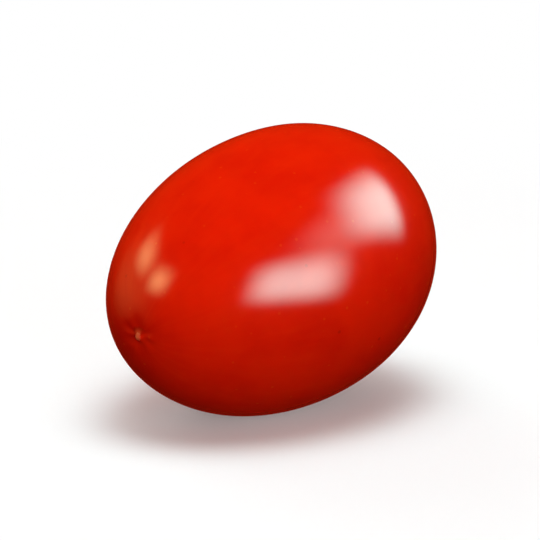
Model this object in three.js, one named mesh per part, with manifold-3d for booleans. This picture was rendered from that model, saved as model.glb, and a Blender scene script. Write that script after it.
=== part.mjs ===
// A small plum tomato, picked clean of its stalk and lying on its side on a small flat spot.
// Millimetres, +Z up. The fruit's axis runs along X, with the blossom end at -X and the stem end at +X.
// The origin is on the resting plane, under the middle of the fruit.
import * as THREE from "three";
import { mergeVertices } from "three/addons/utils/BufferGeometryUtils.js";
import Module from "manifold-3d";

// Body: an egg of revolution, a little wider towards the stem end.
const LENGTH = 38.6; // end to end, before the stem end is dimpled
const DIAMETER = 28;
const EGG = 0.055; // share by which the stem half is wider and the blossom half narrower

// What keeps the body from being perfectly round.
const OVALITY = 0.011; // two seed chambers make the cross-section slightly oval
const OVAL_TURN = THREE.MathUtils.degToRad(35);
const BOW = 0.45; // the belly side bulges by this much at mid length
const BOW_TURN = THREE.MathUtils.degToRad(-60);
const WAVE = 0.1; // height of the low swellings along the sides
const WAVES_AROUND = 3;
const WAVE_TWIST = 2.4; // radians that the swellings turn from the middle to an end

// Stem end: a shallow dimple with the round scar that the stalk left in the middle.
const DIMPLE_DEPTH = 1.7;
const DIMPLE_RADIUS = 3;
const SHOULDER_HEIGHT = 0.13; // soft lobes on the dimple's shoulder
const SHOULDER_LOBES = 5;
const SHOULDER_RADIUS = 4.6;
const SCAR_RADIUS = 1.55;
const SCAR_RIM_HEIGHT = 0.3;
const SCAR_RIM_WIDTH = 0.42;
const SCAR_PIT_DEPTH = 0.45;
const SCAR_PIT_RADIUS = 0.5;

// Blossom end: a small point in a shallow hollow, where the flower's style dried off.
const HOLLOW_DEPTH = 0.3;
const HOLLOW_RADIUS = 1.5;
const POINT_HEIGHT = 0.5;
const POINT_RADIUS = 0.5;

// How the fruit lies: the narrower blossom end droops, and its weight has flattened one spot.
const REST_TILT = THREE.MathUtils.degToRad(9);
const FLAT_DEPTH = 0.4;

// Fineness of the faceted surface. Rings crowd towards both ends, where the small features are.
const RINGS = 50;
const SEGMENTS = 60;
const CROWDING = 0.83;

const wasm = await Module();
wasm.setup();

// A bump of height 1 at the given distance from its middle.
function bump(distance, width) {
  return Math.exp(-((distance / width) ** 2));
}

// Position along the axis, from -1 to 1, and radius of the plain egg at a polar angle from the blossom end.
function eggAt(angle) {
  const along = -Math.cos(angle);
  const radius = (DIAMETER / 2) * Math.sin(angle) * (1 + EGG * along);
  return { along, radius };
}

// How far the blossom end's surface stands out along the axis, at a distance from the axis.
function blossomRelief(radius) {
  return POINT_HEIGHT * bump(radius, POINT_RADIUS) - HOLLOW_DEPTH * bump(radius, HOLLOW_RADIUS);
}

// The same for the stem end: the dimple, the scar's raised rim and the pit inside it.
function stemRelief(radius) {
  const dimple = DIMPLE_DEPTH * bump(radius, DIMPLE_RADIUS);
  const rim = SCAR_RIM_HEIGHT * bump(radius - SCAR_RADIUS, SCAR_RIM_WIDTH);
  const pit = SCAR_PIT_DEPTH * bump(radius, SCAR_PIT_RADIUS);
  return rim - dimple - pit;
}

// The outline of half the fruit, from the blossom end's point to the bottom of the scar's pit.
function outline() {
  const points = [];
  for (let ring = 0; ring <= RINGS; ring++) {
    const turn = (2 * Math.PI * ring) / RINGS;
    const angle = (turn - CROWDING * Math.sin(turn)) / 2;
    const { along, radius } = eggAt(angle);
    const relief = along < 0 ? -blossomRelief(radius) : stemRelief(radius);
    const onAxis = ring === 0 || ring === RINGS;
    points.push(new THREE.Vector2(onAxis ? 0 : radius, (along * LENGTH) / 2 + relief));
  }
  return points;
}

// Moves each point of the turned body a little, as growth did. The lathe's axis is Y.
function growUneven(geometry) {
  const points = geometry.getAttribute("position");
  const point = new THREE.Vector3();
  for (let i = 0; i < points.count; i++) {
    point.fromBufferAttribute(points, i);
    const radius = Math.hypot(point.x, point.z);
    const around = Math.atan2(point.z, point.x);
    const along = THREE.MathUtils.clamp(point.y / (LENGTH / 2), -1, 1);
    const midness = 1 - along ** 2;
    const oval = 1 + OVALITY * Math.cos(2 * (around - OVAL_TURN));
    const swelling = WAVE * midness * Math.cos(WAVES_AROUND * around + WAVE_TWIST * along);
    const stretch = radius > 0 ? oval + swelling / radius : 1;
    point.x = point.x * stretch + BOW * midness * Math.cos(BOW_TURN);
    point.z = point.z * stretch + BOW * midness * Math.sin(BOW_TURN);
    if (along > 0 && radius > 0) {
      const shoulder = bump(radius - SHOULDER_RADIUS, SHOULDER_RADIUS / 2);
      point.y += SHOULDER_HEIGHT * shoulder * Math.cos(SHOULDER_LOBES * around);
    }
    points.setXYZ(i, point.x, point.y, point.z);
  }
}

// A closed three.js geometry as a solid that can be cut.
function solidOf(geometry) {
  const bare = geometry.clone();
  bare.deleteAttribute("normal");
  bare.deleteAttribute("uv");
  const merged = mergeVertices(bare, 1e-3);
  const corners = merged.index.array;
  const triVerts = [];
  for (let i = 0; i < corners.length; i += 3) {
    const [a, b, c] = corners.slice(i, i + 3);
    if (a !== b && b !== c && c !== a) triVerts.push(a, b, c);
  }
  return new wasm.Manifold(
    new wasm.Mesh({
      numProp: 3,
      vertProperties: new Float32Array(merged.getAttribute("position").array),
      triVerts: new Uint32Array(triVerts),
    }),
  );
}

// A cut solid back as a three.js geometry.
function geometryOf(solid) {
  const mesh = solid.getMesh();
  const geometry = new THREE.BufferGeometry();
  geometry.setAttribute("position", new THREE.BufferAttribute(new Float32Array(mesh.vertProperties), 3));
  geometry.setIndex(new THREE.BufferAttribute(new Uint32Array(mesh.triVerts), 1));
  geometry.computeVertexNormals();
  return geometry;
}

// The whole fruit, turned to lie along X and drooping towards the blossom end.
function lyingFruit() {
  const fruit = new THREE.LatheGeometry(outline(), SEGMENTS);
  growUneven(fruit);
  fruit.rotateZ(-Math.PI / 2);
  fruit.rotateY(-REST_TILT);
  return fruit;
}

// The fruit with the spot that it lies on pressed flat.
function restingFruit() {
  const fruit = lyingFruit();
  fruit.computeBoundingBox();
  const slab = new THREE.BoxGeometry(2 * LENGTH, 2 * DIAMETER, DIAMETER);
  slab.translate(0, 0, fruit.boundingBox.min.z + FLAT_DEPTH - DIAMETER / 2);
  return geometryOf(solidOf(fruit).subtract(solidOf(slab)));
}

const skin = new THREE.MeshStandardMaterial({ color: 0xd81e06, roughness: 0.22, metalness: 0 });

const tomato = new THREE.Mesh(restingFruit(), skin);
tomato.name = "tomato";
tomato.geometry.computeBoundingBox();
const middle = tomato.geometry.boundingBox.getCenter(new THREE.Vector3());
tomato.position.set(-middle.x, -middle.y, -tomato.geometry.boundingBox.min.z);

const part = new THREE.Group();
part.add(tomato);

export default part;
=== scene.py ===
# %% [markdown]
# # A small plum tomato
#
# This lesson dresses one ripe plum tomato: a smooth, glossy fruit the length of a thumb, with the corky scar
# of its stalk at one end and the dry point of its flower at the other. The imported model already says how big
# the fruit is and how it lies, so the script starts by loading it as a fixed frame. The looks are then built
# around that frame, in metres and in the same place.

import math

import bmesh
import bpy
from mathutils import Matrix, Quaternion, Vector, noise


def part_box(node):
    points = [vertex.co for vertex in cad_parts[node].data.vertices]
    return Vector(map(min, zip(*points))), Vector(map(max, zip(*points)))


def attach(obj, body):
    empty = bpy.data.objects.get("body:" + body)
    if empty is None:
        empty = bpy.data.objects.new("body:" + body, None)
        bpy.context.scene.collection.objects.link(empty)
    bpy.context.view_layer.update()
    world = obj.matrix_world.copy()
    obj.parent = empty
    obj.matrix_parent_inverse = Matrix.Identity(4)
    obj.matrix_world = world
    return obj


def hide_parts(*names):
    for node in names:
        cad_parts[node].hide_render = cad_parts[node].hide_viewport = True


MM = 0.001
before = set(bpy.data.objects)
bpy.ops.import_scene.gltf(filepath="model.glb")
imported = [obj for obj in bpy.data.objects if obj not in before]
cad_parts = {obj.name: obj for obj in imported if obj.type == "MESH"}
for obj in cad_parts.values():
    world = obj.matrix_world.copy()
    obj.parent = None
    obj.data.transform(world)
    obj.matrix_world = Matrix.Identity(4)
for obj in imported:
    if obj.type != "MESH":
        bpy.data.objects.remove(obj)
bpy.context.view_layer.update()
fruit_low, fruit_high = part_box("tomato")
fruit_middle = (fruit_low + fruit_high) / 2
print("frame nodes:", sorted(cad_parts))
print("fruit's box in mm:", [round(side / MM, 2) for side in fruit_high - fruit_low])

# %% [markdown]
# ## The camera
#
# The fruit is seen from low above the table, from between its side and its blossom end, so that its long axis
# runs away to the upper right. A short lens close by would swell the near end, so a long lens stands back
# instead, and the frame is fitted to the fruit by working the lens out from the distance.

# %% Camera
SENSOR_WIDTH = 36.0
VIEW_AZIMUTH = math.radians(-48)
VIEW_ELEVATION = math.radians(15)
VIEW_DISTANCE = 0.43
VIEW_WIDTH = 0.054  # width of what the frame takes in, at the fruit


def direction_from(azimuth, elevation):
    """Unit vector from the fruit outwards; azimuth 0 is towards -Y, and 90 degrees is towards +X."""
    level = math.cos(elevation)
    return Vector((math.sin(azimuth) * level, -math.cos(azimuth) * level, math.sin(elevation)))


to_camera = direction_from(VIEW_AZIMUTH, VIEW_ELEVATION)
camera_data = bpy.data.cameras.new("camera")
camera_data.sensor_width = SENSOR_WIDTH
camera_data.lens = SENSOR_WIDTH * VIEW_DISTANCE / VIEW_WIDTH
camera_data.clip_start = 0.01
camera = bpy.data.objects.new("camera", camera_data)
camera.location = fruit_middle + to_camera * VIEW_DISTANCE
camera.rotation_euler = to_camera.to_track_quat("Z", "Y").to_euler()
bpy.context.scene.collection.objects.link(camera)
bpy.context.scene.camera = camera
print("lens in mm:", round(camera_data.lens))

# %% [markdown]
# ## The body of the fruit
#
# A tomato swells evenly round its axis, so its plain form is an egg of revolution. A UV sphere could be
# stretched into it, but its rings would be as coarse at the ends as in the middle, and the ends carry all the
# fine detail. Here half of the outline is drawn from a formula that crowds its points towards both ends, and
# Spin turns it once round the X axis. The first and last points lie on the axis, so the copies there are
# merged into two poles, and the normals are recalculated once the shell is closed.

# %% Spin the egg
LENGTH = 38.6 * MM
DIAMETER = 28 * MM
EGG = 0.055  # share by which the stem half is wider and the blossom half narrower
RINGS = 76
SEGMENTS = 96
CROWDING = 0.86


def egg_outline():
    """Points of the plain egg's half outline, from the blossom end at -X to the stem end at +X."""
    for ring in range(RINGS + 1):
        turn = 2 * math.pi * ring / RINGS
        angle = (turn - CROWDING * math.sin(turn)) / 2
        along = -math.cos(angle)
        radius = DIAMETER / 2 * math.sin(angle) * (1 + EGG * along)
        yield Vector((along * LENGTH / 2, 0, radius))


shell = bmesh.new()
outline = [shell.verts.new(point) for point in egg_outline()]
for pair in zip(outline, outline[1:]):
    shell.edges.new(pair)
bmesh.ops.spin(
    shell,
    geom=shell.verts[:] + shell.edges[:],
    cent=(0, 0, 0),
    axis=(1, 0, 0),
    angle=2 * math.pi,
    steps=SEGMENTS,
    use_merge=True,
)
bmesh.ops.remove_doubles(shell, verts=shell.verts, dist=0.001 * MM)
bmesh.ops.recalc_face_normals(shell, faces=shell.faces)
print("plain egg:", len(shell.verts), "vertices,", len(shell.faces), "faces")

# %% [markdown]
# ## The stem end
#
# The stalk sat in a shallow dimple between soft shoulders. Picked clean, it leaves a round scar: a low corky
# rim, a wrinkled disc inside it and a small pit where the vessels broke. The scar could be a separate disc,
# but on the fruit it is one skin with the shoulders, so the rings that were crowded here are raised and
# sunk instead. The rim isn't a perfect circle: its radius wobbles with the angle.

# %% Stem end
DIMPLE_DEPTH = 1.7 * MM
DIMPLE_RADIUS = 3 * MM
SHOULDER_HEIGHT = 0.13 * MM
SHOULDER_LOBES = 5
SHOULDER_RADIUS = 4.6 * MM
SCAR_RADIUS = 1.55 * MM
SCAR_RIM_HEIGHT = 0.3 * MM
SCAR_RIM_WIDTH = 0.36 * MM
SCAR_PIT_DEPTH = 0.45 * MM
SCAR_PIT_RADIUS = 0.5 * MM
RIM_UNEVENNESS = 0.25
WRINKLE = 0.05 * MM
WRINKLES_AROUND = 11
# Middle and width of each ring of wrinkles, in scar radii, and its share of the height.
WRINKLE_RINGS = [(0.65, 0.35, 1.0), (1.6, 0.4, 0.5)]


def bump(distance, width):
    """A bump of height 1 at the given distance from its middle."""
    return math.exp(-((distance / width) ** 2))


def axis_distance(point):
    """Distance of a point from the fruit's axis."""
    return math.hypot(point.y, point.z)


def axis_angle(point):
    """Angle of a point round the fruit's axis."""
    return math.atan2(point.z, -point.y)


def wobble(around):
    """Share by which the scar's outline is wider or narrower at an angle."""
    return 0.07 * math.cos(2 * around + 0.6) + 0.05 * math.cos(3 * around + 2.1) + 0.03 * math.cos(7 * around)


def creasing(around):
    """Height of the irregular creases round the scar at an angle, from -1 to 1."""
    phase = WRINKLES_AROUND * around + 2.2 * math.sin(2 * around + 1) + 1.4 * math.sin(5 * around)
    return (0.6 + 0.4 * math.cos(3 * around + 0.5)) * math.cos(phase)


def stem_relief(radius, around):
    """How far the stem end stands out along the axis."""
    scar = radius * (1 + wobble(around))
    folds = creasing(around)
    lobes = math.cos(SHOULDER_LOBES * around)
    height = -DIMPLE_DEPTH * bump(radius, DIMPLE_RADIUS)
    height += SHOULDER_HEIGHT * lobes * bump(radius - SHOULDER_RADIUS, SHOULDER_RADIUS / 2)
    height += SCAR_RIM_HEIGHT * (1 + RIM_UNEVENNESS * folds) * bump(scar - SCAR_RADIUS, SCAR_RIM_WIDTH)
    height -= SCAR_PIT_DEPTH * bump(scar, SCAR_PIT_RADIUS)
    for middle, width, share in WRINKLE_RINGS:
        height += share * WRINKLE * folds * bump(scar - middle * SCAR_RADIUS, width * SCAR_RADIUS)
    return height


stem_half = [vertex for vertex in shell.verts if vertex.co.x > 0]
for vertex in stem_half:
    vertex.co.x += stem_relief(axis_distance(vertex.co), axis_angle(vertex.co))
stem_reach = max(vertex.co.x for vertex in stem_half)
print("stem half:", len(stem_half), "vertices, now reaching", round(stem_reach / MM, 2), "mm")

# %% [markdown]
# ## The blossom end
#
# Where the flower's style dried off, the fruit keeps a tiny point in a shallow hollow. It is only a
# millimetre across, but it is the one landmark of this view. The dark crescent above it is painted shade in
# the skin's colour, and its glint is partly painted, by a lightened tan. The point leans a little, and soft
# creases run into the hollow, all by the same kind of vertex move.

# %% Blossom end
HOLLOW_DEPTH = 0.3 * MM
HOLLOW_RADIUS = 1.5 * MM
POINT_HEIGHT = 0.5 * MM
POINT_RADIUS = 0.5 * MM
POINT_LEAN = 0.12 * MM
CREASE = 0.04 * MM
CREASES_AROUND = 6


def blossom_relief(radius, around):
    """How far the blossom end stands out along the axis."""
    creases = math.cos(CREASES_AROUND * around + math.sin(2 * around))
    height = POINT_HEIGHT * bump(radius, POINT_RADIUS)
    height -= HOLLOW_DEPTH * bump(radius, HOLLOW_RADIUS)
    height += CREASE * creases * bump(radius - HOLLOW_RADIUS, HOLLOW_RADIUS / 2)
    return height


blossom_half = [vertex for vertex in shell.verts if vertex.co.x < 0]
for vertex in blossom_half:
    radius = axis_distance(vertex.co)
    vertex.co.x -= blossom_relief(radius, axis_angle(vertex.co))
    vertex.co.z -= POINT_LEAN * bump(radius, POINT_RADIUS)
point_end = min(vertex.co.x for vertex in blossom_half)
print("blossom half:", len(blossom_half), "vertices, point at", round(point_end / MM, 2), "mm")

# %% [markdown]
# ## Uneven growth
#
# A perfect egg looks like plastic. A real fruit is slightly oval, because it has two seed chambers, it bulges
# on its belly side, and its sides rise and fall by a tenth of a millimetre or so, which is what makes the
# edges of the reflections wander. Sculpting by hand can't be repeated, so every vertex is moved by the same
# few formulas and by Blender's own noise, which gives the same numbers each run.

# %% Uneven growth
OVALITY = 0.011
OVAL_TURN = math.radians(35)
BOW = 0.45 * MM
BOW_TURN = math.radians(-60)
WAVE = 0.1 * MM
WAVES_AROUND = 3
WAVE_TWIST = 2.4
DENT = 0.07 * MM  # height of the shallow dents and swellings
DENT_SIZE = 9 * MM


def grown(point):
    """Where growth has carried a point of the even fruit."""
    radius = axis_distance(point)
    around = axis_angle(point)
    along = max(-1, min(1, 2 * point.x / LENGTH))
    midness = 1 - along**2
    oval = 1 + OVALITY * math.cos(2 * (around - OVAL_TURN))
    swelling = WAVE * midness * math.cos(WAVES_AROUND * around + WAVE_TWIST * along)
    swelling += DENT * midness * noise.noise(point / DENT_SIZE)
    stretch = oval + swelling / radius if radius > 0 else 1
    side = -BOW * midness * math.cos(BOW_TURN)
    rise = BOW * midness * math.sin(BOW_TURN)
    return Vector((point.x, point.y * stretch + side, point.z * stretch + rise))


largest_move = 0
for vertex in shell.verts:
    new_place = grown(vertex.co)
    largest_move = max(largest_move, (new_place - vertex.co).length)
    vertex.co = new_place
print("largest move in mm:", round(largest_move / MM, 2))

# %% [markdown]
# ## Lying down
#
# The fruit lies on its side with the blossom end drooping, and its skin has given way to a small flat spot.
# Bisect would cut that spot with a hard edge. Skin rolls into the flat softly, so each height above the flat
# goes through a smooth curve that never falls below zero. The finished shell is then moved to where the frame
# holds the fruit: in the middle of its box, with the flat spot on the table.

# %% Lying down
REST_TILT = math.radians(9)
FLAT_DEPTH = 0.4 * MM
FLAT_ROLL = 0.05 * MM  # how softly the side rolls into the flat spot
ROLL_REACH = 20 * FLAT_ROLL  # above this the curve is straight


def pressed(height):
    """A height above the flat spot once the skin has given way there."""
    if height > ROLL_REACH:
        return height
    return FLAT_ROLL * math.log1p(math.exp(height / FLAT_ROLL))


bmesh.ops.rotate(shell, verts=shell.verts, cent=(0, 0, 0), matrix=Matrix.Rotation(-REST_TILT, 3, "Y"))
flat_height = min(vertex.co.z for vertex in shell.verts) + FLAT_DEPTH
for vertex in shell.verts:
    vertex.co.z = flat_height + pressed(vertex.co.z - flat_height)
places = [vertex.co for vertex in shell.verts]
shell_low = Vector([min(place[side] for place in places) for side in range(3)])
shell_high = Vector([max(place[side] for place in places) for side in range(3)])
fruit_shift = fruit_middle - (shell_low + shell_high) / 2
fruit_shift.z = fruit_low.z - shell_low.z
bmesh.ops.translate(shell, verts=shell.verts, vec=fruit_shift)
print("moved by mm:", [round(side / MM, 3) for side in fruit_shift])

# %% [markdown]
# ## One piece for the frame
#
# The shell becomes a mesh object at the origin, with its place in its vertices, so that patterns on its
# Object coordinates stay put. One level of Subdivision Surface rounds what is left of the facets. The piece
# rides on the fruit's only body and stands for the frame's plain solid.

# %% Make the piece
for face in shell.faces:
    face.smooth = True
tomato_mesh = bpy.data.meshes.new("tomato_fruit")
shell.to_mesh(tomato_mesh)
shell.free()
tomato = bpy.data.objects.new("tomato_fruit", tomato_mesh)
bpy.context.scene.collection.objects.link(tomato)
rounding = tomato.modifiers.new("rounding", "SUBSURF")
rounding.levels = 1
rounding.render_levels = 1
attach(tomato, "root")
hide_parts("tomato")
print("piece:", tomato.name, "with", len(tomato_mesh.polygons), "faces before rounding")

# %% [markdown]
# ## A way to write materials
#
# The finishes below are sums of masks and noise. Wiring each Math node by hand hides the idea, so one small
# class wraps a socket and lets Python's own signs add the Math nodes, and another makes any node from its
# type, its settings and what goes into its sockets.


# %% Material helpers
class Wire:
    """An output socket that can be used in sums, and gives its node's other outputs by name."""

    def __init__(self, recipe, socket):
        self.recipe = recipe
        self.socket = socket

    def __getitem__(self, name):
        return Wire(self.recipe, self.socket.node.outputs[name])

    def __add__(self, other):
        return self.recipe.math("ADD", self, other)

    def __sub__(self, other):
        return self.recipe.math("SUBTRACT", self, other)

    def __rsub__(self, other):
        return self.recipe.math("SUBTRACT", other, self)

    def __mul__(self, other):
        return self.recipe.math("MULTIPLY", self, other)

    def __truediv__(self, other):
        return self.recipe.math("DIVIDE", self, other)

    def __pow__(self, other):
        return self.recipe.math("POWER", self, other)

    __radd__ = __add__
    __rmul__ = __mul__


class Recipe:
    """A material's node tree in the making."""

    def __init__(self, owner):
        owner.use_nodes = True
        self.tree = owner.node_tree
        self.tree.nodes.clear()

    def add(self, kind, settings=None, sockets=None):
        """A new node of a kind: its settings are set first, then its sockets are set or linked."""
        node = self.tree.nodes.new(kind)
        for name, value in (settings or {}).items():
            if name == "stops":
                self.set_stops(node.color_ramp.elements, value)
            else:
                setattr(node, name, value)
        for name, value in (sockets or {}).items():
            if isinstance(value, Wire):
                self.tree.links.new(value.socket, node.inputs[name])
            else:
                node.inputs[name].default_value = value
        return Wire(self, node.outputs[0]) if node.outputs else None

    def set_stops(self, elements, stops):
        """Gives a colour ramp its stops, as pairs of position and colour."""
        while len(elements) < len(stops):
            elements.new(1)
        for element, (position, colour) in zip(elements, stops):
            element.position = position
            element.color = (*colour, 1)

    def math(self, operation, first, second):
        return self.add("ShaderNodeMath", {"operation": operation}, {0: first, 1: second})

    def rise(self, value, low, high):
        """0 below low, 1 above high, and smooth in between."""
        return self.add(
            "ShaderNodeMapRange",
            {"interpolation_type": "SMOOTHSTEP"},
            {"Value": value, "From Min": low, "From Max": high},
        )

    def blend(self, share, first, second):
        """The first colour turning into the second as share goes from 0 to 1."""
        colours = {6: first if isinstance(first, Wire) else (*first, 1)}
        colours[7] = second if isinstance(second, Wire) else (*second, 1)
        mixed = self.add("ShaderNodeMix", {"data_type": "RGBA"}, {"Factor": share, **colours})
        return Wire(self, mixed.socket.node.outputs[2])

    def noise(self, place, scale, detail=2.0):
        """Cloudy values around a half; scale is in clouds per unit of the place."""
        return self.add("ShaderNodeTexNoise", {}, {"Vector": place, "Scale": scale, "Detail": detail})


print("material helpers ready")

# %% [markdown]
# ## The skin
#
# A ripe skin is a clear, waxy film over red flesh. Its red isn't even: clouds of deeper red, faint streaks
# that run from end to end, pale flecks a quarter of a millimetre wide, a few dark specks, and a warmer
# shoulder by the scar. An image could be wrapped round the fruit, but a pattern from nodes stays sharp from
# any distance. The object's coordinates are first turned back into the fruit's own, in millimetres with X
# along its axis, so that a distance from the axis is enough to place the cork of the scar and the dry
# point. Above the dry point a dark crescent of painted shade stands for the shade on the upper side of its
# hollow, and the point's own tan is lightened into a painted glint. Light sinks a little way into the flesh
# before it comes out, so part of the colour is given to subsurface scattering.

# %% Skin
RIPE_RED = (0.84, 0.020, 0.001)
DEEP_RED = (0.76, 0.013, 0.001)
WARM_RED = (0.90, 0.040, 0.002)
FLECK_ORANGE = (0.88, 0.11, 0.01)
# Dark of the real specks, and of the crescent of painted shade above the dry point.
SPECK_AND_SHADE_DARK = (0.30, 0.008, 0.001)
# The dry point's own tan, lightened to stand in for its glint: partly a painted highlight.
DRY_TAN_AND_GLINT = (0.66, 0.15, 0.05)

# Sizes of the patterns, per millimetre, and how strongly each tints the skin.
CLOUD_SCALE = 0.16
CLOUD_RANGE = (0.35, 0.7)
GRAIN_SCALE = 2.2
CELL_SCALE = 0.75  # each cell can hold one fleck or speck
STREAK_SCALE = 9.0  # streaks are counted on a circle of radius 1 round the axis
STREAK_LENGTHENING = 0.02
STREAK_RANGE = (0.4, 0.8)
STREAK_STRENGTH = 0.2
SHOULDER_STRENGTH = 0.7
FLECK_STRENGTH = 0.3
SPECK_STRENGTH = 0.35
# The crescent above the dry point is painted shade.
PAINTED_SHADE_STRENGTH = 0.55

# Edges of the flecks and specks, in cells from the middle, and which of the cells have one.
FLECK_EDGE = (0.06, 0.15)
FLECK_PICK = (0.45, 0.8)
SPECK_EDGE = (0.08, 0.2)
SPECK_PICK = (0.975, 0.985)

# Edges of the marks at the two ends, in millimetres from the middle of each.
END_REACH = 6.0  # from mid length to where a mark of that end can be full
AXIS_GAP = 0.01  # keeps a division finite on the axis
RAGGEDNESS = 0.5  # how far the edges wander
SHOULDER_EDGE = (3.5, 8.5)
HALO_EDGE = (2.2, 3.4)
CORK_EDGE = (1.7, 2.1)
DRY_EDGE = (0.15, 0.45)
# The crescent is painted shade: darker skin where the upper side of the hollow above the dry point is shaded.
CRESCENT_EDGE = (0.2, 0.65)
CRESCENT_UP = 0.5  # from the dry point up to the middle of the dark crescent
CRESCENT_WIDTH = 1.6  # times its height
SCAR_REACH = 4.0  # from the axis to the last stop of the scar's colours
SCAR_STOPS = [
    (0.00, (0.045, 0.022, 0.010)),
    (0.12, (0.110, 0.055, 0.022)),
    (0.20, (0.400, 0.260, 0.120)),
    (0.32, (0.500, 0.350, 0.180)),
    (0.40, (0.240, 0.120, 0.045)),
    (0.48, (0.600, 0.200, 0.030)),
    (0.64, (0.640, 0.060, 0.006)),
    (1.00, RIPE_RED),
]

# The finish of the wax, and of cork and dry skin where there is none.
BARE_ROUGHNESS = 0.72
WAX_SMOOTHING = 0.6
GRAIN_ROUGHNESS = 0.06
GRAIN_HEIGHT = 0.004 * MM
CORK_GRAIN = 12.0  # what cork adds, in heights of the skin's own grain

skin = bpy.data.materials.new("tomato_skin")
paint = Recipe(skin)
fruit = paint.add(
    "ShaderNodeMapping",
    {"vector_type": "TEXTURE"},
    {
        "Vector": paint.add("ShaderNodeTexCoord")["Object"],
        "Location": fruit_shift,
        "Rotation": (0, -REST_TILT, 0),
        "Scale": (MM, MM, MM),
    },
)
axes = paint.add("ShaderNodeSeparateXYZ", {}, {"Vector": fruit})
along, side, up = axes["X"], axes["Y"], axes["Z"]
radius = (side * side + up * up) ** 0.5
off_axis = radius + AXIS_GAP
at_stem = paint.rise(along, 0, END_REACH)
at_blossom = paint.rise(along, 0, -END_REACH)

clouds = paint.noise(fruit, CLOUD_SCALE, 3.0)
grain = paint.noise(fruit, GRAIN_SCALE)
streak_place = paint.add(
    "ShaderNodeCombineXYZ",
    {},
    {"X": along * STREAK_LENGTHENING, "Y": side / off_axis, "Z": up / off_axis},
)
streaks = paint.noise(streak_place, STREAK_SCALE, 3.0)

cells = paint.add("ShaderNodeTexVoronoi", {}, {"Vector": fruit, "Scale": CELL_SCALE})
cell_pick = paint.add("ShaderNodeSeparateColor", {}, {"Color": cells["Color"]})
flecks = (1 - paint.rise(cells["Distance"], *FLECK_EDGE)) * paint.rise(cell_pick["Red"], *FLECK_PICK)
specks = (1 - paint.rise(cells["Distance"], *SPECK_EDGE)) * paint.rise(cell_pick["Green"], *SPECK_PICK)

colour = paint.blend(paint.rise(clouds, *CLOUD_RANGE), RIPE_RED, DEEP_RED)
colour = paint.blend(paint.rise(streaks, *STREAK_RANGE) * STREAK_STRENGTH, colour, WARM_RED)
shoulder = at_stem * (1 - paint.rise(radius, *SHOULDER_EDGE))
colour = paint.blend(shoulder * SHOULDER_STRENGTH, colour, WARM_RED)
colour = paint.blend(flecks * FLECK_STRENGTH, colour, FLECK_ORANGE)
colour = paint.blend(specks * SPECK_STRENGTH, colour, SPECK_AND_SHADE_DARK)

wander = (grain - 0.5) * RAGGEDNESS
ragged = radius + wander
scar_colours = paint.add("ShaderNodeValToRGB", {"stops": SCAR_STOPS}, {"Fac": ragged / SCAR_REACH})
cork = at_stem * (1 - paint.rise(ragged, *CORK_EDGE))
halo = at_stem * (1 - paint.rise(ragged, *HALO_EDGE))
colour = paint.blend(halo, colour, scar_colours)
# Painted shade: a dark crescent above the dry point, where the upper side of its hollow would fall in shade.
across = side / CRESCENT_WIDTH
above = up - CRESCENT_UP
from_crescent = (across * across + above * above) ** 0.5 + wander
painted_shade_crescent = at_blossom * (1 - paint.rise(from_crescent, *CRESCENT_EDGE))
colour = paint.blend(painted_shade_crescent * PAINTED_SHADE_STRENGTH, colour, SPECK_AND_SHADE_DARK)
# The dry point's own tan, lightened into a painted glint; the same mask takes the wax off there.
dry_point_and_glint = at_blossom * (1 - paint.rise(ragged, *DRY_EDGE))
colour = paint.blend(dry_point_and_glint, colour, DRY_TAN_AND_GLINT)

waxy = 1 - cork - dry_point_and_glint
rough = BARE_ROUGHNESS - waxy * WAX_SMOOTHING + grain * GRAIN_ROUGHNESS
relief = paint.add(
    "ShaderNodeBump",
    {},
    {"Strength": 1.0, "Distance": GRAIN_HEIGHT, "Height": grain + cork * grain * CORK_GRAIN},
)
surface = paint.add(
    "ShaderNodeBsdfPrincipled",
    {},
    {
        "Base Color": colour,
        "Roughness": rough,
        "Normal": relief,
        "IOR": 1.5,
        "Subsurface Weight": 0.3,
        "Subsurface Radius": (1.0, 0.18, 0.08),
        "Subsurface Scale": 1.5 * MM,
        "Coat Weight": waxy,
        "Coat Roughness": 0.115,
        "Coat IOR": 1.5,
    },
)
paint.add("ShaderNodeOutputMaterial", {}, {"Surface": surface})
tomato_mesh.materials.append(skin)
print("skin nodes:", len(skin.node_tree.nodes))

# %% [markdown]
# ## The floor and what is around
#
# The fruit stands alone on a pale table. A table with an edge would draw a horizon behind it, so the floor is
# a disc that glows a little, like a light table, and glows more the further out, until it is as white as the
# room behind. Floor and room are white to the camera only. A glossy skin mirrors its surroundings most at its
# outline, and white would bleach the red there, so the floor is hidden from the fruit, which sits in a red
# room instead, darker below. Gloss sees that room brighter than matt colour does, so that the outline is
# neither bleached nor drawn as a dark line. The room tints the floor too, and the floor's own colour takes
# that back out.

# %% Floor and surroundings
FLOOR_RADIUS = 0.6
FLOOR_DROP = 0.02 * MM  # keeps the floor from sharing a plane with the flat spot
FLOOR_FADE = (0.02, 0.12)
FLOOR_GLOW = 0.2
FLOOR_PALE = (0.71, 0.94, 0.98, 1)
ROOM_RISE = (-0.5, 0.4)  # upward share of a direction, from the dark below to the light above
ROOM_SEEN = (1.0, 1.0, 1.0)
ROOM_ABOVE = (0.36, 0.018, 0.004)
ROOM_BELOW = (0.08, 0.003, 0.001)
MIRROR_ABOVE = (0.68, 0.026, 0.002)
MIRROR_BELOW = (0.16, 0.005, 0.001)

disc = bmesh.new()
bmesh.ops.create_circle(disc, cap_ends=True, radius=FLOOR_RADIUS, segments=96)
bmesh.ops.translate(disc, verts=disc.verts, vec=(0, 0, fruit_low.z - FLOOR_DROP))
floor_mesh = bpy.data.meshes.new("floor")
disc.to_mesh(floor_mesh)
disc.free()
floor = bpy.data.objects.new("floor", floor_mesh)
floor.visible_diffuse = False
floor.visible_glossy = False
bpy.context.scene.collection.objects.link(floor)

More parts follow.
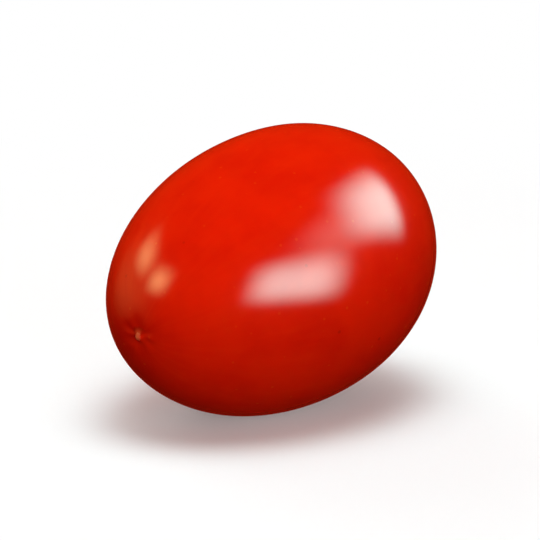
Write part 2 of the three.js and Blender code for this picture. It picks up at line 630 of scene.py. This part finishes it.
table_top = bpy.data.materials.new("pale_floor")
paper = Recipe(table_top)
spot = paper.add("ShaderNodeSeparateXYZ", {}, {"Vector": paper.add("ShaderNodeTexCoord")["Object"]})
distance = (spot["X"] * spot["X"] + spot["Y"] * spot["Y"]) ** 0.5
matt = paper.add("ShaderNodeBsdfDiffuse", {}, {"Color": FLOOR_PALE})
glowing = paper.add("ShaderNodeEmission")
glow_share = FLOOR_GLOW + (1 - FLOOR_GLOW) * paper.rise(distance, *FLOOR_FADE)
light_table = paper.add("ShaderNodeMixShader", {}, {0: glow_share, 1: matt, 2: glowing})
paper.add("ShaderNodeOutputMaterial", {}, {"Surface": light_table})
table_top.cycles.emission_sampling = "NONE"
floor_mesh.materials.append(table_top)

room = bpy.data.worlds.new("room")
bpy.context.scene.world = room
air = Recipe(room)
ray = air.add("ShaderNodeLightPath")
upward = air.add("ShaderNodeSeparateXYZ", {}, {"Vector": air.add("ShaderNodeTexCoord")["Generated"]})["Z"]
height = air.rise(upward, *ROOM_RISE)
for_matt = air.blend(height, ROOM_BELOW, ROOM_ABOVE)
for_gloss = air.blend(height, MIRROR_BELOW, MIRROR_ABOVE)
for_skin = air.blend(ray["Is Glossy Ray"], for_matt, for_gloss)
room_colour = air.blend(ray["Is Camera Ray"], for_skin, ROOM_SEEN)
backdrop = air.add("ShaderNodeBackground", {}, {"Color": room_colour})
air.add("ShaderNodeOutputWorld", {}, {"Surface": backdrop})
print("floor radius in m:", FLOOR_RADIUS)

# %% [markdown]
# ## The light
#
# A glossy skin shows two things at once: the light that its colour gives back, and the mirror images of
# bright panels. One set of lights could do both, but then a panel that is bright enough to be mirrored also
# burns out the red beside it. So there are two sets. The soft lights are large and are hidden from gloss. The
# mirrored panels are hidden from matt colour: two windows with a pale glow between them on the right, and two
# small warm lamps before a warm wall on the left. The windows are short of red, because the skin below them
# is full of it and their patches would turn pink. Area lights have edges, so they mirror as patches with a
# shape, which point lights wouldn't. A curtain softens each edge by its own share of the panel's width or
# height. The soft lights are sampled on their own, because rays that are shared with gloss would let a faint
# image of them in. The last of them is linked to the floor alone, and makes it white outside the fruit's
# shadow.

# %% Lights
SOFT_WHITE = (1.0, 0.96, 0.90)
TABLE_WHITE = (1.0, 1.0, 1.0)
WINDOW_COOL = (0.50, 0.96, 0.90)
LAMP_WARM = (1.0, 0.80, 0.32)
WALL_WARM = (1.0, 0.50, 0.13)
LIGHT_DISTANCE = 0.30


def hang_panel(name, azimuth, elevation, size, watts, colour=SOFT_WHITE, roll=0, fades=(0.5, 0.5, 0.5, 0.5)):
    """An area light that faces the fruit from a direction in degrees, rolled about that direction.

    The fades are the shares that its left, right, bottom and top edges take to reach full strength.
    """
    lamp = bpy.data.lights.new(name, "AREA")
    lamp.shape = "RECTANGLE"
    lamp.size, lamp.size_y = size
    lamp.energy = watts
    lamp.color = colour
    curtain = Recipe(lamp)
    place = curtain.add("ShaderNodeNewGeometry")["Parametric"]
    spread = curtain.add("ShaderNodeSeparateXYZ", {}, {"Vector": place})
    left, right, bottom, top = fades
    across = curtain.rise(spread["X"], 0, left) * curtain.rise(spread["X"], 1, 1 - right)
    upright = curtain.rise(spread["Y"], 0, bottom) * curtain.rise(spread["Y"], 1, 1 - top)
    glow = curtain.add("ShaderNodeEmission", {}, {"Strength": across * upright})
    curtain.add("ShaderNodeOutputLight", {}, {"Surface": glow})
    panel = bpy.data.objects.new(name, lamp)
    outward = direction_from(math.radians(azimuth), math.radians(elevation))
    facing = outward.to_track_quat("Z", "Y") @ Quaternion((0, 0, 1), math.radians(roll))
    panel.location = fruit_middle + outward * LIGHT_DISTANCE
    panel.rotation_euler = facing.to_euler()
    panel.visible_camera = False
    bpy.context.scene.collection.objects.link(panel)
    return panel


mirrored_panels = [
    hang_panel("side_window", 57, 33, (0.27, 0.26), 1.20, WINDOW_COOL, -34, (0.55, 0.3, 0.38, 0.45)),
    hang_panel("front_window", -3, 14, (0.40, 0.27), 2.10, WINDOW_COOL, -14, (0.35, 0.4, 0.4, 0.5)),
    hang_panel("window_glow", 27, 35, (0.36, 0.24), 0.28, WINDOW_COOL),
    hang_panel("upper_lamp", -151, 30, (0.24, 0.15), 0.27, LAMP_WARM),
    hang_panel("lower_lamp", -114, 26, (0.21, 0.17), 0.41, LAMP_WARM),
    hang_panel("warm_wall", -146, 11, (0.60, 0.40), 0.34, WALL_WARM),
]
soft_lights = [
    hang_panel("front_fill", -30, 4, (0.40, 0.40), 2.6),
    hang_panel("overhead", 0, 88, (0.50, 0.50), 1.95),
    hang_panel("back_fill", 166, 24, (0.40, 0.40), 1.5),
    hang_panel("table_lamp", 0, 86, (0.30, 0.30), 2.2, TABLE_WHITE),
]
table_only = bpy.data.collections.new("table_only")
table_only.objects.link(floor)
soft_lights[-1].light_linking.receiver_collection = table_only
for panel in mirrored_panels:
    panel.visible_diffuse = False
for panel in soft_lights:
    panel.visible_glossy = False
    panel.data.cycles.use_multiple_importance_sampling = False
bpy.context.scene.view_settings.view_transform = "Standard"
print("panels:", len(mirrored_panels), "mirrored and", len(soft_lights), "soft")
